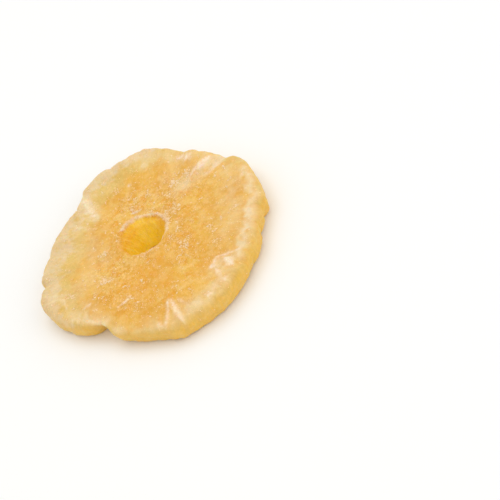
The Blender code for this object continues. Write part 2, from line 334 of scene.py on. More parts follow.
# Folds, veins and spots on the face: the points that each runs through, as angle and radius, then
# its half width, how white it is, and how high it stands
faceMarks = (
    # the furrow at the left, and the faint fold after it
    (((109, 32.5), (113.5, 26.5), (118, 21.5)), 1.8, 0.85, 0.12),
    (((113.5, 27.5), (116.5, 23)), 1, 1, 0.05),
    (((128, 30), (129, 20)), 0.9, 0.35, 0.06),
    # spots on the upper left
    (((95, 31.7),), 0.7, 0.6, 0.1),
    (((82, 24),), 0.6, 0.7, 0.12),
    (((70, 29.5),), 1.2, 0.5, 0.05),
    # patches along the top, the vein there, and the flap's pale foot
    (((48, 29.8), (45.5, 29.3)), 1.5, 0.9, 0.08),
    (((42, 29.4), (39.2, 28.8)), 1.4, 1, 0.08),
    (((30.2, 23.4), (28, 27), (26.2, 30.5)), 1.15, 0.95, 0.14),
    (((19.5, 25.5), (18, 33)), 1.4, 0.45, 0),
    # the pocket at the right, with its curled lip
    (((291, 27.8), (296.5, 26.8), (300.6, 27.6), (303, 29), (306, 32.5)), 0.7, 0.75, 0.2),
    (((298.5, 29.3), (297.5, 31.5), (296.5, 33.6)), 1.2, 1, 0.15),
    (((291.3, 27.6),), 0.9, 1, 0.18),
    (((290.2, 29.5), (288.8, 33.1)), 0.7, 0.7, 0.16),
    (((288.2, 35),), 1.1, 0.9, 0.14),
    (((277.8, 35.4),), 1.2, 0.9, 0.14),
    # two ridges that stand as a wedge, and wisps above them
    (((258.9, 28), (257.9, 30.5), (253.6, 37.2)), 0.65, 0.7, 0.2),
    (((260.6, 28.5), (260.7, 31.3), (262.2, 38.4)), 0.85, 0.8, 0.24),
    (((263.8, 28.9), (267.3, 34.5)), 0.5, 0.5, 0.1),
    (((252, 36.2),), 1.1, 0.75, 0.05),
    (((249.5, 37.4), (252, 38)), 0.8, 0.6, 0.05),
    # strokes on the lower left
    (((226, 26.3), (230, 24.4), (232, 22)), 0.45, 0.95, 0.2),
    (((203, 29.5), (205, 26.8)), 0.5, 0.7, 0.14),
    (((201, 33.8), (207.5, 32.4), (214, 32), (220.5, 32.4)), 1.2, 0.45, 0.05),
    (((162, 35.6), (162.8, 34.2)), 1.1, 1.1, 0.1),
    (((176, 34.8), (181, 31.7), (187, 28.3)), 0.5, 0.55, 0.16),
    (((182, 35.4), (184, 32.1), (187.5, 30.7), (194, 32.2)), 0.45, 0.5, 0.16),
    # the hole's sugared lip
    (((126, 10.1), (118.8, 10.3), (103.6, 10.1), (91.4, 9.6), (79.7, 8.8)), 0.55, 1.5, 0.12),
    (((91.4, 9.5), (79.7, 8.8), (67.9, 8.3), (51.1, 7.9), (36.4, 7.6)), 0.34, 1.25, 0.1),
    (((36.4, 7.5), (16, 6.9), (352, 6.4), (327.9, 5.9)), 0.52, 1.4, 0.12),
    (((327.9, 5.8), (294.5, 5), (265, 5.7), (240, 7.1), (210, 8)), 0.3, 0.7, 0.04),
    (((94, 11.9), (79, 11.8)), 0.45, 1.2, 0.12),
)

# Milky flesh, and a painted highlight along the right rim's edge: the points that each cloud runs
# through, its half width and its share
milkAndHighlightClouds = (
    (((263, 35.6), (270, 35.6), (277, 35.6), (286, 34.4)), 2.7, 0.76),
    (((293, 30.5), (299, 31.5)), 4.2, 0.75),
    # along the right rim's edge: milky flesh, and a painted highlight where the face rounds over
    (((303, 33), (316, 31.9), (329, 31.9), (340, 32.5), (350, 33), (0, 34)), 2, 1),
    (((24, 26.5), (21, 32)), 2.8, 0.85),
    (((30, 31), (45, 30), (60, 31.5), (75, 34)), 3, 0.5),
    (((201, 32.4), (206, 31), (213, 30.6), (221, 31.6)), 2.3, 0.64),
    (((4, 30), (347, 27.5), (333, 27.5), (319, 28)), 5.5, 0.36),
    (((245, 35), (258, 37)), 2.6, 0.5),
    (((199, 28), (207, 27.4), (212, 28.4)), 1.8, 0.3),
    (((42, 29.5), (33, 30), (26, 30)), 2.2, 0.35),
    (((140, 21), (155, 19), (170, 19.5), (183, 22), (188, 26)), 4.6, 0.3),
    (((48, 26.5), (50, 21)), 2.6, 0.32),
    (((27.5, 24.5), (33, 18.5)), 3, 0.65),
    (((160, 14.5), (176, 14.5)), 2.6, 0.3),
    (((228, 33.4), (238, 35.2), (249, 36.8)), 1.5, 0.45),
    (((180, 33), (192, 31)), 2.6, 0.5),
    (((111, 30), (117, 22)), 2.6, 0.55),
)

# Deeper amber flesh, in the same way
amberClouds = (
    (((296, 15), (300, 11.5)), 3.6, 0.75),
    (((223, 18), (243, 12.5), (262, 10.5)), 4, 0.55),
    (((222, 22), (236, 23), (250, 21.5), (262, 20)), 4, 0.5),
    (((290, 25.5),), 2.4, 0.65),
    (((234, 27.5),), 2.6, 0.5),
)

# Where the pale outer flesh begins, as angle and radius; the amber core reaches nearly to the
# rim at the right and the bottom
paleInnerEdge = (
    (0, 33), (20, 31), (45, 28.5), (65, 26.5), (80, 26), (95, 25), (115, 21), (130, 19),
    (150, 19), (170, 21.5), (185, 25), (205, 28), (230, 31.5), (255, 34), (270, 34), (300, 32),
    (330, 32.5), (360, 33),
)

# Where the golden wall of the hole turns into the face, as angle and radius
holeLip = (
    (0, 5.9), (12.9, 6.2), (36.4, 7.05), (51.1, 7.34), (67.9, 7.75), (79.7, 8.25), (91.4, 9.04),
    (103.6, 9.48), (118.8, 9.64), (138.6, 9.32), (150.6, 9.4), (166, 8.93), (196.3, 7.69),
    (233.8, 6.82), (250.3, 5.72), (294.5, 4.31), (327.9, 5.28), (360, 5.9),
)

# Where sugar lies thick or thin, as angle, radius, half width and the change of its share
sugarFields = (
    (193, 19, 6, 1), (225, 25, 3.5, 0.5), (48, 17.5, 4.5, 0.6), (303, 19, 4, 0.3),
    (294, 27, 2.5, 0.4), (117, 15, 3, 0.4), (326, 18, 4, 0.4), (191, 27.7, 1.5, 0.6),
    (257, 14, 6, -1.2), (266, 25, 6, -0.6), (345, 26, 9, -1.2), (61, 20.5, 2, -0.8),
    (285, 27.5, 2.5, -0.5), (175, 9.5, 2.5, -0.6), (250, 31, 6, -0.5), (318, 28, 6, -0.6),
)

# Clusters of larger grains, as angle, radius and half width
grainClusters = (
    (199, 18.8, 1.2), (204, 24.4, 0.8), (189, 28.1, 0.6), (42, 20, 1.5), (338, 27.3, 0.6),
    (15, 12.3, 0.4), (325, 19.2, 0.7), (328, 9, 0.6), (318, 20.9, 0.8), (161, 14.5, 0.8),
    (82, 24, 0.4), (95, 31.7, 0.3), (162, 35.2, 0.5), (232, 22.2, 0.6), (300, 14, 0.8),
    (36, 24, 1),
)


# Noise that tears the masks' edges: the lattice's cell in millimetres, its seed and its layers
tearing = {"patch": (5.0, 11, 3), "fine": (1.6, 21, 3), "tear": (0.8, 25, 2)}

# A pale crumb on the rim's wall, and the stretch of wall with less of the wall's colour
rimCrumb = {"angle": 162.3, "halfWidth": 2.5}
paleWall = {"angle": 178.0, "halfWidth": 18.0, "share": 0.4}

# The sugar film: its share over the pale flesh, the core and the hole's wall, the least that
# its thin spots keep, and the smooth stretch at the right
sugarFilm = {"outer": 0.22, "core": 0.9, "wall": 0.42, "thinSpots": 0.5,
             "smoothAngle": 332.0, "smoothHalfWidth": 42.0, "smoothShare": 0.7}


def rowNoise(first, second, third, seed):
    # lattice noise along three measures of its own; round the ring there are as many cells as
    # some whole number of lattices, so that the noise meets its start
    return latticeNoise(np.stack([first, second, third], -1), 1.0, seed)


def cloudShare(x, y, clouds):
    # the strongest of the clouds at each point
    share = np.zeros_like(x)
    for spots, halfWidth, strength in clouds:
        share = np.maximum(share, strength * lineShare(x, y, spots, halfWidth))
    return share


def ringMasks(points, angle, outward, level, onFace):
    # shares from 0 to 1 over the surface that the finish reads
    x, y = points[..., 0], points[..., 1]
    radius = np.hypot(x, y)
    patch, fine, tear = (layeredNoise(points, *noise) for noise in tearing.values())
    streak = rowNoise(angle / 360.0 * 192.0, radius / 3.5, level * 2.0, 31)
    # the outer flesh is paler than the core
    innerEdge = np.interp(angle, *np.array(paleInnerEdge).T)
    pastEdge = radius - innerEdge + 2.0 * patch
    pale = smoothStep(-3.0, 11.0, pastEdge + 0.8 * fine + 0.6 * streak)
    # clouds and white marks, torn by noise
    aside = np.roll(fine, 9, 0)
    warpedX, warpedY = x + 0.35 * fine + 0.5 * patch, y + 0.35 * aside - 0.5 * patch
    torn = 0.85 + 0.4 * fine + 0.3 * patch
    # the milk mask also holds a painted highlight along the right rim's edge
    milkAndEdgeHighlight = cloudShare(warpedX, warpedY, milkAndHighlightClouds) * (torn + 0.2 * streak) * mix(0.12, 1.0, onFace)
    amber = cloudShare(warpedX, warpedY, amberClouds) * torn * onFace
    nearX, nearY = x + 0.10 * fine + 0.08 * tear, y - 0.10 * aside + 0.08 * tear
    white, ridge = np.zeros_like(x), np.zeros_like(x)
    for spots, halfWidth, share, rise in faceMarks:
        line = lineShare(nearX, nearY, spots, halfWidth, 0.7 if len(spots) > 1 else 0.0)
        white = np.maximum(white, share * line)
        ridge = np.maximum(ridge, rise * line)
    crumb = bellAt(angle, rimCrumb["angle"], rimCrumb["halfWidth"])
    crumb = crumb * (outward > 0.9) * smoothStep(0.25, 0.5, level)
    white = white * (0.8 + 0.4 * fine + 0.35 * tear) * np.maximum(onFace, crumb)
    ridge = ridge * np.clip(0.7 + 0.45 * fine + 0.35 * tear, 0.0, 1.3) * onFace
    # the hole's wall, bare and golden, and its soft lip at the lower left
    polarAngle = np.degrees(np.arctan2(y, x)) % 360.0
    pastLip = radius - np.interp(polarAngle, *np.array(holeLip).T) + 0.15 * fine
    lip = smoothStep(0.3, -0.3, pastLip) * onFace
    wall = np.maximum(smoothStep(0.97, 0.84, level) * (outward <= 0.0), lip)
    side = smoothStep(0.97, 0.62, level + 0.05 * fine + 0.04 * patch)
    side = side * smoothStep(0.86, 0.95, outward)
    paler = bellAt(angle, paleWall["angle"], paleWall["halfWidth"])
    side = side * (1.0 - paleWall["share"] * paler)
    # the sugar film is thick over the core and thins out over the pale flesh
    core = smoothStep(-1.0, -8.0, pastEdge)
    smooth = bellAt(angle, sugarFilm["smoothAngle"], sugarFilm["smoothHalfWidth"])
    smooth = smooth * smoothStep(13.0, 21.0, radius)
    core = core * (1.0 - sugarFilm["smoothShare"] * smooth)
    field = sum(change * lineShare(x, y, ((spot, away),), halfWidth)
                for spot, away, halfWidth, change in sugarFields)
    thick = mix(sugarFilm["thinSpots"], 1.0, smoothStep(-0.5, 0.8, patch + 0.8 * fine))
    film = mix(sugarFilm["outer"], sugarFilm["core"], core) * thick * onFace
    film = np.maximum(film * np.clip(0.85 + 0.6 * field, 0.3, 1.5), sugarFilm["wall"] * wall)
    spots = [(((spot, away),), halfWidth, 1.0) for spot, away, halfWidth in grainClusters]
    clusters = cloudShare(nearX, nearY, spots)
    # lighter towards the bottom of the hole: painted light that cancels the shade down in the hole
    paintedDepthLight = smoothStep(0.95, 0.25, level) * (outward <= 0.0)
    shares = {"paintedDepthLight": paintedDepthLight, "pale": pale, "milkAndEdgeHighlight": milkAndEdgeHighlight, "amber": amber, "white": white,
              "wall": wall, "side": side, "film": film, "core": core * onFace,
              "clusters": clusters * onFace, "ridge": ridge, "lip": lip}
    return {name: np.clip(share, 0.0, 1.0) for name, share in shares.items()}


# Heights in millimetres
relief = {
    "lump": 0.13, "pore": 0.09, "lipSlope": 0.7, "fibre": 0.035, "fibreOuter": 0.05,
    "furrowLine": 0.25, "furrowLineHalfWidth": 0.45, "filledFurrow": 116.0, "furrowFill": 0.55,
    "furrowFillHalfWidth": 1.5, "sideWrinkle": 0.15, "wallFibre": 0.14, "undersideShare": 0.5,
}


def fineRelief(points, angle, outward, level, onFace, masks):
    # noise lumps and pores, streaks that run outwards, raised veins and sharp furrow lines
    radius = np.hypot(points[..., 0], points[..., 1])
    lumps = layeredNoise(points, 3.4, 41, 2)
    pores = layeredNoise(points, 0.9, 51, 2)
    fibres = rowNoise(angle / 360.0 * 384.0, radius / 2.6, level * 3.0, 61)
    height = relief["lump"] * lumps + relief["pore"] * pores
    height = height + fibres * mix(relief["fibre"], relief["fibreOuter"], masks["pale"]) * onFace
    drift = 0.8 * latticeNoise(points, 6.0, 71)
    for lobe in ringForm["lobes"]:
        aside = np.radians(turnFrom(angle, lobe[0])) * radius + drift
        line = min(lobe[4], 0.6) * bell(aside / relief["furrowLineHalfWidth"])
        line = line * smoothStep(lobe[5] + 0.12, 1.0, outward)
        height = height - relief["furrowLine"] * line
    sideRows = rowNoise(angle / 360.0 * 160.0, level * 5.0, radius * 0.0, 81)
    height = height + relief["sideWrinkle"] * sideRows * masks["side"]
    wallRows = rowNoise(angle / 360.0 * 64.0 + level * 3.0, level * 2.0, radius * 0.0, 91)
    height = height + relief["wallFibre"] * wallRows * masks["wall"]
    underside = (1.0 - onFace) * (level <= 0.0)
    aside = np.radians(turnFrom(angle, relief["filledFurrow"])) * radius
    filled = relief["furrowFill"] * bell(aside / relief["furrowFillHalfWidth"])
    raised = masks["ridge"] + filled * smoothStep(0.5, 1.0, outward) * onFace
    slope = relief["lipSlope"] * masks["lip"]
    raised = raised - slope * smoothStep(0.0, 0.6, np.sin(np.radians(angle)))
    return height * mix(1.0, relief["undersideShare"], underside), raised


def newMesh(name, vertices, faces):
    # a mesh from arrays of places in millimetres and of faces that all have as many corners
    mesh = bpy.data.meshes.new(name)
    mesh.vertices.add(len(vertices))
    mesh.vertices.foreach_set("co", (vertices * mm).astype(np.float32).ravel())
    mesh.loops.add(faces.size)
    mesh.loops.foreach_set("vertex_index", faces.astype(np.int32).ravel())
    mesh.polygons.add(len(faces))
    starts = np.arange(0, faces.size, faces.shape[1], dtype=np.int32)
    mesh.polygons.foreach_set("loop_start", starts)
    mesh.update(calc_edges=True)
    return mesh


def addAttribute(mesh, name, kind, values):
    # one value or vector for each vertex, which the materials read by name
    attribute = mesh.attributes.new(name, kind, "POINT")
    field = "vector" if kind == "FLOAT_VECTOR" else "value"
    attribute.data.foreach_set(field, values.astype(np.float32).ravel())


def gridMesh(name, points, masks, spaces):
    # a closed grid: both ways round it joins up with its start
    rays, count = points.shape[:2]
    ray, point = np.meshgrid(np.arange(rays), np.arange(count), indexing="ij")
    nextRay, nextPoint = (ray + 1) % rays, (point + 1) % count
    corners = [ray * count + point, ray * count + nextPoint,
               nextRay * count + nextPoint, nextRay * count + point]
    mesh = newMesh(name, points.reshape(-1, 3), np.stack(corners, -1).reshape(-1, 4))
    mesh.validate()
    for mask, values in masks.items():
        addAttribute(mesh, mask, "FLOAT", values)
    for space, values in spaces.items():
        addAttribute(mesh, space, "FLOAT_VECTOR", values)
    mesh.shade_smooth()
    return mesh


def newObject(name, data):
    made = bpy.data.objects.new(name, data)
    bpy.context.scene.collection.objects.link(made)
    return made


def newPiece(name, mesh, material):
    piece = newObject(name, mesh)
    mesh.materials.append(material)
    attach(piece, "root")
    return piece


# Materials

def fillSockets(tree, node, given):
    # a constant is set on its socket, and another node's output is linked to it
    for name, value in given.items():
        if isinstance(value, (int, float, tuple)):
            node.inputs[name].default_value = value
        else:
            tree.links.new(value, node.inputs[name])


def newMaterial(name):
    material = bpy.data.materials.new(name)
    material.use_nodes = True
    return material, material.node_tree, material.node_tree.nodes["Principled BSDF"]


def newGroup(name, inputs, outputs):
    # a shader node group with its sockets, given as names and kinds
    group = bpy.data.node_groups.new(name, "ShaderNodeTree")
    for side, sockets in (("INPUT", inputs), ("OUTPUT", outputs)):
        for socket, kind in sockets.items():
            group.interface.new_socket(socket, in_out=side, socket_type="NodeSocket" + kind)
    return group, group.nodes.new("NodeGroupInput").outputs, group.nodes.new("NodeGroupOutput")


def placeGroup(tree, group, given):
    node = tree.nodes.new("ShaderNodeGroup")
    node.node_tree = group
    fillSockets(tree, node, given)
    return node.outputs


def addNoise(tree, vector, scale, detail=3.0, roughness=0.55):
    noise = tree.nodes.new("ShaderNodeTexNoise")
    fillSockets(tree, noise, {"Vector": vector, "Scale": scale, "Detail": detail,
                              "Roughness": roughness})
    return noise.outputs["Fac"]


def addRange(tree, value, low, high, outLow=0.0, outHigh=1.0):
    # a smooth slope from outLow at low to outHigh at high
    mapped = tree.nodes.new("ShaderNodeMapRange")
    mapped.interpolation_type = "SMOOTHSTEP"
    fillSockets(tree, mapped, {"Value": value, "From Min": low, "From Max": high,
                               "To Min": outLow, "To Max": outHigh})
    return mapped.outputs["Result"]


def addMath(tree, operation, first, second, clamp=False):
    node = tree.nodes.new("ShaderNodeMath")
    node.operation = operation
    node.use_clamp = clamp
    fillSockets(tree, node, {0: first, 1: second})
    return node.outputs["Value"]


def multiply(tree, first, second, clamp=False):
    return addMath(tree, "MULTIPLY", first, second, clamp)


def addBlend(tree, share, first, second):
    # one colour over another by a share
    node = tree.nodes.new("ShaderNodeMix")
    node.data_type = "RGBA"
    fillSockets(tree, node, {"Factor": share, "A": first, "B": second})
    return node.outputs["Result"]


def readMask(tree, name, output="Fac"):
    node = tree.nodes.new("ShaderNodeAttribute")
    node.attribute_name = name
    return node.outputs[output]


# Scales of the noise per metre, how much of the grain comes from its fine noise, and where the
# grain is cut off
speckle = {"coarseScale": 820.0, "fineScale": 1900.0, "shadeScale": 3000.0, "fineShare": 0.65,
           "cut": 0.64, "cutByAmount": 0.12, "cutWidth": 0.09}


def sugarSpeckleGroup():
    # mottling a millimetre across, and grain half as fine that is cut off lower with more sugar
    group, start, end = newGroup(
        "sugarSpeckle", {"Place": "Vector", "Amount": "Float"},
        {"Mottle": "Float", "Grain": "Float", "Shade": "Float", "Height": "Float"})
    coarse = addNoise(group, start["Place"], speckle["coarseScale"], 2.5, 0.6)
    small = addNoise(group, start["Place"], speckle["fineScale"], 2.0)
    lower = multiply(group, start["Amount"], speckle["cutByAmount"])
    cut = addMath(group, "SUBTRACT", speckle["cut"], lower)
    both = addMath(group, "ADD", multiply(group, small, speckle["fineShare"]),
                   multiply(group, coarse, 1.0 - speckle["fineShare"]))
    above = addMath(group, "SUBTRACT", both, cut)
    jitter = addNoise(group, start["Place"], speckle["shadeScale"], 1.0)
    fillSockets(group, end, {
        "Mottle": addRange(group, coarse, 0.40, 0.66), "Height": both,
        "Grain": addRange(group, above, 0.0, speckle["cutWidth"]),
        "Shade": addRange(group, jitter, 0.25, 0.75, 0.90, 1.08),
    })
    return group


fleshTone = {"patchScale": 130.0, "patchShare": 0.75}


def fleshToneGroup():
    # amber that wanders between a deep and a light tone, in patches and in streaks outwards
    group, start, end = newGroup(
        "fleshTone", {"Place": "Vector", "Fibre": "Vector", "Deep": "Color", "Light": "Color"},
        {"Colour": "Color", "Streak": "Float"})
    patches = addNoise(group, start["Place"], fleshTone["patchScale"], 4.0)
    patches = multiply(group, addRange(group, patches, 0.34, 0.66), fleshTone["patchShare"])
    streaks = addNoise(group, start["Fibre"], 1.0, 3.0, 0.6)
    streaked = multiply(group, addRange(group, streaks, 0.38, 0.64), 1.0 - fleshTone["patchShare"])
    share = addMath(group, "ADD", patches, streaked)
    colour = addBlend(group, share, start["Deep"], start["Light"])
    fillSockets(group, end, {"Colour": colour, "Streak": streaks})
    return group


# As screen colours from 0 to 255
fleshColours = {name: linearColour(*screen) for name, screen in {
    "coreDeep": (222, 161, 54), "coreLight": (236, 186, 82), "yellowDeep": (217, 176, 82),
    "yellowLight": (230, 196, 118), "paleDeep": (220, 188, 134), "paleLight": (231, 206, 160),
    "milkAndEdgeHighlight": (239, 213, 168), "sugar": (255, 217, 150), "whiteInner": (255, 232, 214),
    "whiteOuter": (246, 231, 192), "blotch": (229, 161, 44), "bloom": (239, 198, 120),
    # the wall's lightest tone, laid at the bottom of the hole, is painted light against the shade
    # there
    "wallDeep": (235, 169, 12), "wallLight": (247, 200, 56), "wallPaintedLight": (250, 212, 34),
    "wallStreak": (252, 212, 116), "wallShade": (230, 166, 6), "side": (236, 187, 78),
}.items()}

# Scales of the noise per metre, and the most that each layer of colour covers
fleshLayers = {
    "cloudScale": 330.0, "driftScale": 520.0, "drift": 1.3, "bloom": 0.45, "blotch": 0.8,
    # the first share on the wall is that of the painted light at the bottom of the hole
    "wallPaintedLight": 0.72, "wallStreak": 0.3, "wallShade": 0.22, "wallBare": 0.5,
    "blotchBare": 0.6, "grain": 0.6, "mottle": 0.36,
}

# Bump and finish go by the names of their sockets
fleshRoughness = {"smooth": 0.48, "sugared": 0.80}
fleshBump = {"Strength": 0.55, "Distance": 0.00012}
fleshFinish = {"Subsurface Weight": 0.6, "Subsurface Radius": (1.0, 0.6, 0.25),
               "Subsurface Scale": 0.0014, "IOR": 1.42, "Specular IOR Level": 0.26}


def candiedFlesh(speckleGroup, toneGroup):
    # layers of colour over one another by the ring's masks: core, yellow and pale flesh, side, milk
    # with a painted highlight along the right rim's edge, amber, the hole's wall painted lighter
    # towards its bottom, white marks, and the sugar film last
    material, tree, shader = newMaterial("candiedFlesh")
    c, most = fleshColours, fleshLayers
    place = tree.nodes.new("ShaderNodeTexCoord").outputs["Object"]
    tones = {}
    for name in ("core", "yellow", "pale", "wall"):
        space = readMask(tree, "wallSpace" if name == "wall" else "fibreSpace", "Vector")
        tones[name] = placeGroup(tree, toneGroup, {
            "Place": place, "Fibre": space, "Deep": c[name + "Deep"], "Light": c[name + "Light"]})
    # the core, with lighter blooms and deeper blotches
    clouds = addNoise(tree, place, most["cloudScale"], 2.5)
    blooms = addRange(tree, clouds, 0.48, 0.34, 0.0, most["bloom"])
    colour = addBlend(tree, blooms, tones["core"]["Colour"], c["bloom"])
    blotches = addRange(tree, clouds, 0.51, 0.64, 0.0, most["blotch"])
    blotches = multiply(tree, blotches, readMask(tree, "core"))
    colour = addBlend(tree, blotches, colour, c["blotch"])
    # the outer flesh, over an edge that drifts
    drift = addMath(tree, "SUBTRACT", addNoise(tree, place, most["driftScale"], 3.0, 0.6), 0.5)
    drift = multiply(tree, multiply(tree, drift, readMask(tree, "pale")), most["drift"])
    pale = addMath(tree, "ADD", readMask(tree, "pale"), drift, clamp=True)
    colour = addBlend(tree, addRange(tree, pale, 0.0, 0.40), colour, tones["yellow"]["Colour"])
    colour = addBlend(tree, addRange(tree, pale, 0.50, 1.0), colour, tones["pale"]["Colour"])
    sideShare = addRange(tree, tones["core"]["Streak"], 0.36, 0.62, 0.55, 1.0)
    sideShare = multiply(tree, readMask(tree, "side"), sideShare)
    colour = addBlend(tree, sideShare, colour, c["side"])
    # milky flesh, with a painted highlight along the right rim's edge
    colour = addBlend(tree, readMask(tree, "milkAndEdgeHighlight"), colour, c["milkAndEdgeHighlight"])
    colour = addBlend(tree, readMask(tree, "amber"), colour, c["blotch"])
    # the hole's wall, painted lighter towards its bottom to cancel the shade down in the hole
    paintedDepthLight = multiply(tree, readMask(tree, "paintedDepthLight"), most["wallPaintedLight"])
    wall = addBlend(tree, paintedDepthLight, tones["wall"]["Colour"], c["wallPaintedLight"])
    light = addRange(tree, tones["wall"]["Streak"], 0.52, 0.66, 0.0, most["wallStreak"])
    wall = addBlend(tree, light, wall, c["wallStreak"])
    dark = addRange(tree, tones["wall"]["Streak"], 0.47, 0.34, 0.0, most["wallShade"])
    wall = addBlend(tree, dark, wall, c["wallShade"])
    colour = addBlend(tree, readMask(tree, "wall"), colour, wall)
    # white marks, torn by the sugar's own noise
    bare = multiply(tree, blotches, most["blotchBare"])
    amount = addMath(tree, "SUBTRACT", readMask(tree, "film"), bare)
    sugar = placeGroup(tree, speckleGroup, {"Place": place, "Amount": amount})
    torn = addRange(tree, sugar["Height"], 0.36, 0.56, 0.4, 1.0)
    whiteShare = multiply(tree, readMask(tree, "white"), torn)
    white = addBlend(tree, pale, c["whiteInner"], c["whiteOuter"])
    colour = addBlend(tree, whiteShare, colour, white)
    # the sugar film, thinner in the hole
    bare = multiply(tree, readMask(tree, "wall"), most["wallBare"])
    bare = addMath(tree, "SUBTRACT", 1.0, bare)
    grain = multiply(tree, multiply(tree, sugar["Grain"], bare), most["grain"])
    mottle = multiply(tree, multiply(tree, sugar["Mottle"], bare), most["mottle"])
    strength = addRange(tree, readMask(tree, "film"), 0.0, 0.8, 0.45, 1.1)
    sugarShare = multiply(tree, addMath(tree, "MAXIMUM", grain, mottle), strength, clamp=True)
    colour = addBlend(tree, sugarShare, colour, c["sugar"])
    jitter = addMath(tree, "SUBTRACT", sugar["Shade"], 1.0)
    jitter = addMath(tree, "ADD", multiply(tree, jitter, strength), 1.0)
    shade = tree.nodes.new("ShaderNodeHueSaturation")
    fillSockets(tree, shade, {"Color": colour, "Value": jitter})
    # dull where there is sugar, milk, the painted edge highlight or a white mark
    dull = addMath(tree, "MAXIMUM", readMask(tree, "white"), readMask(tree, "milkAndEdgeHighlight"))
    dull = addMath(tree, "MAXIMUM", sugarShare, dull)
    rough = addRange(tree, dull, 0.0, 0.8, fleshRoughness["smooth"], fleshRoughness["sugared"])
    height = addMath(tree, "ADD", sugar["Height"], tones["core"]["Streak"])
    bump = tree.nodes.new("ShaderNodeBump")
    fillSockets(tree, bump, {"Height": height, **fleshBump})
    fillSockets(tree, shader, {"Base Color": shade.outputs["Color"], "Roughness": rough,
                               "Normal": bump.outputs["Normal"], **fleshFinish})
    return material


sugarTones = {"clear": linearColour(254, 210, 140), "white": linearColour(255, 231, 198),
              "cloudScale": 5200.0, "cloud": 0.12}
sugarFinish = {"Roughness": 0.5, "IOR": 1.5}


def sugarCrystal():
    # each grain has its own tone, from clear with flesh showing through, to white
    material, tree, shader = newMaterial("sugarCrystal")
    place = tree.nodes.new("ShaderNodeTexCoord").outputs["Object"]
    cloud = addNoise(tree, place, sugarTones["cloudScale"], 1.0)
    cloud = addRange(tree, cloud, 0.3, 0.7, -sugarTones["cloud"], sugarTones["cloud"])
    tone = addMath(tree, "ADD", readMask(tree, "tone"), cloud, clamp=True)
    colour = addBlend(tree, tone, sugarTones["clear"], sugarTones["white"])
    fillSockets(tree, shader, {"Base Color": colour, **sugarFinish})
    return material


# The ring

# Changes to the fine ring before it replaces the solid: the rim is trimmed from this share
# outwards, and the hole's back wall leans to the front at its base
ringFit = {"trim": -0.2, "trimFrom": 0.6, "lean": 0.7, "leanAngle": 90.0, "leanHalfWidth": 60.0,
           "leanReach": 0.10}

# The spaces that the fibres' noise reads: round the ring, outwards and up the wall
fibreSpaces = {"twist": 35.0, "round": 60.0, "outwards": 0.35, "up": 1.2,
               "wallRound": 13.0, "wallOutwards": 8.0, "wallUp": 1.6}

points, angle, outward, level = ringSurface()
normals = surfaceNormals(points)
onFace = smoothStep(0.80, 0.97, level)
masks = ringMasks(points, angle, outward, level, onFace)
height, raised = fineRelief(points, angle, outward, level, onFace, masks)
fine = points + normals * height[..., None]
fine[..., 2] += raised
touches = sum(change * bellAt(angle, spot, halfWidth) for spot, halfWidth, change in rimTouches)
notch = baseNotch["depth"] * bellAt(angle, baseNotch["angle"], baseNotch["halfWidth"])
trim = ringFit["trim"] + touches - notch * (1.0 - level)
trim = trim * smoothStep(ringFit["trimFrom"], 1.0, outward)
fine[..., 0] += trim * np.cos(np.radians(angle))
fine[..., 1] += trim * np.sin(np.radians(angle))
facing = bellAt(angle, ringFit["leanAngle"], ringFit["leanHalfWidth"])
lean = ringFit["lean"] * (1.0 - level) * facing
fine[..., 1] -= lean * smoothStep(ringFit["leanReach"], 0.0, outward)
centre = np.array([(cadLow.x + cadHigh.x) / 2, (cadLow.y + cadHigh.y) / 2]) / mm
fine[..., :2] += centre - (points[..., :2].min((0, 1)) + points[..., :2].max((0, 1))) / 2.0
fine[..., 2] = np.maximum(fine[..., 2], 0.0) + cadLow.z / mm

turned = np.radians(angle + fibreSpaces["twist"] * (1.0 - level) * (outward <= 0.0))
away = np.hypot(points[..., 0], points[..., 1]) * fibreSpaces["outwards"] * (outward > 0.0)
wallAway = level * fibreSpaces["wallUp"] + outward * fibreSpaces["wallOutwards"]
spaces = {
    "fibreSpace": np.stack([np.cos(turned) * fibreSpaces["round"],
                            np.sin(turned) * fibreSpaces["round"],
                            away + level * fibreSpaces["up"]], -1),
    "wallSpace": np.stack([np.cos(turned) * fibreSpaces["wallRound"],
                           np.sin(turned) * fibreSpaces["wallRound"], wallAway], -1),
}
ringMesh = gridMesh("candied_ring", fine, masks, spaces)
flesh = candiedFlesh(sugarSpeckleGroup(), fleshToneGroup())
ring = newPiece("candied_ring", ringMesh, flesh)
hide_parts(ringNode)
print("ring:", len(ring.data.polygons), "faces")


# Sugar grains

def crystalShape():
    # a box with its corners cut: the middles of a cube's edges, 12 points and 20 triangles
    corners = np.array([(x, y, z) for x in (-1, 0, 1) for y in (-1, 0, 1) for z in (-1, 0, 1)
                        if abs(x) + abs(y) + abs(z) == 2], float)
    faces = []
    for sign in (-1, 1):
        for axis in range(3):
            square = [k for k in range(12) if corners[k, axis] == sign]
            other = [a for a in range(3) if a != axis]
            square.sort(key=lambda k: math.atan2(corners[k, other[1]], corners[k, other[0]]))
            faces += [(square[0], square[1], square[2]), (square[0], square[2], square[3])]
    for k in itertools.combinations(range(12), 3):
        sides = [np.linalg.norm(corners[a] - corners[b]) for a, b in itertools.combinations(k, 2)]
        if np.allclose(sides, math.sqrt(2)) and np.all(np.abs(corners[list(k)].sum(0)) > 1.5):
            faces.append(k)
    fixed = []
    for face in faces:
        a, b, c = corners[list(face)]
        outward = np.dot(np.cross(b - a, c - a), a + b + c)
        fixed.append(face if outward > 0 else face[::-1])
    return corners / math.sqrt(2), np.array(fixed)


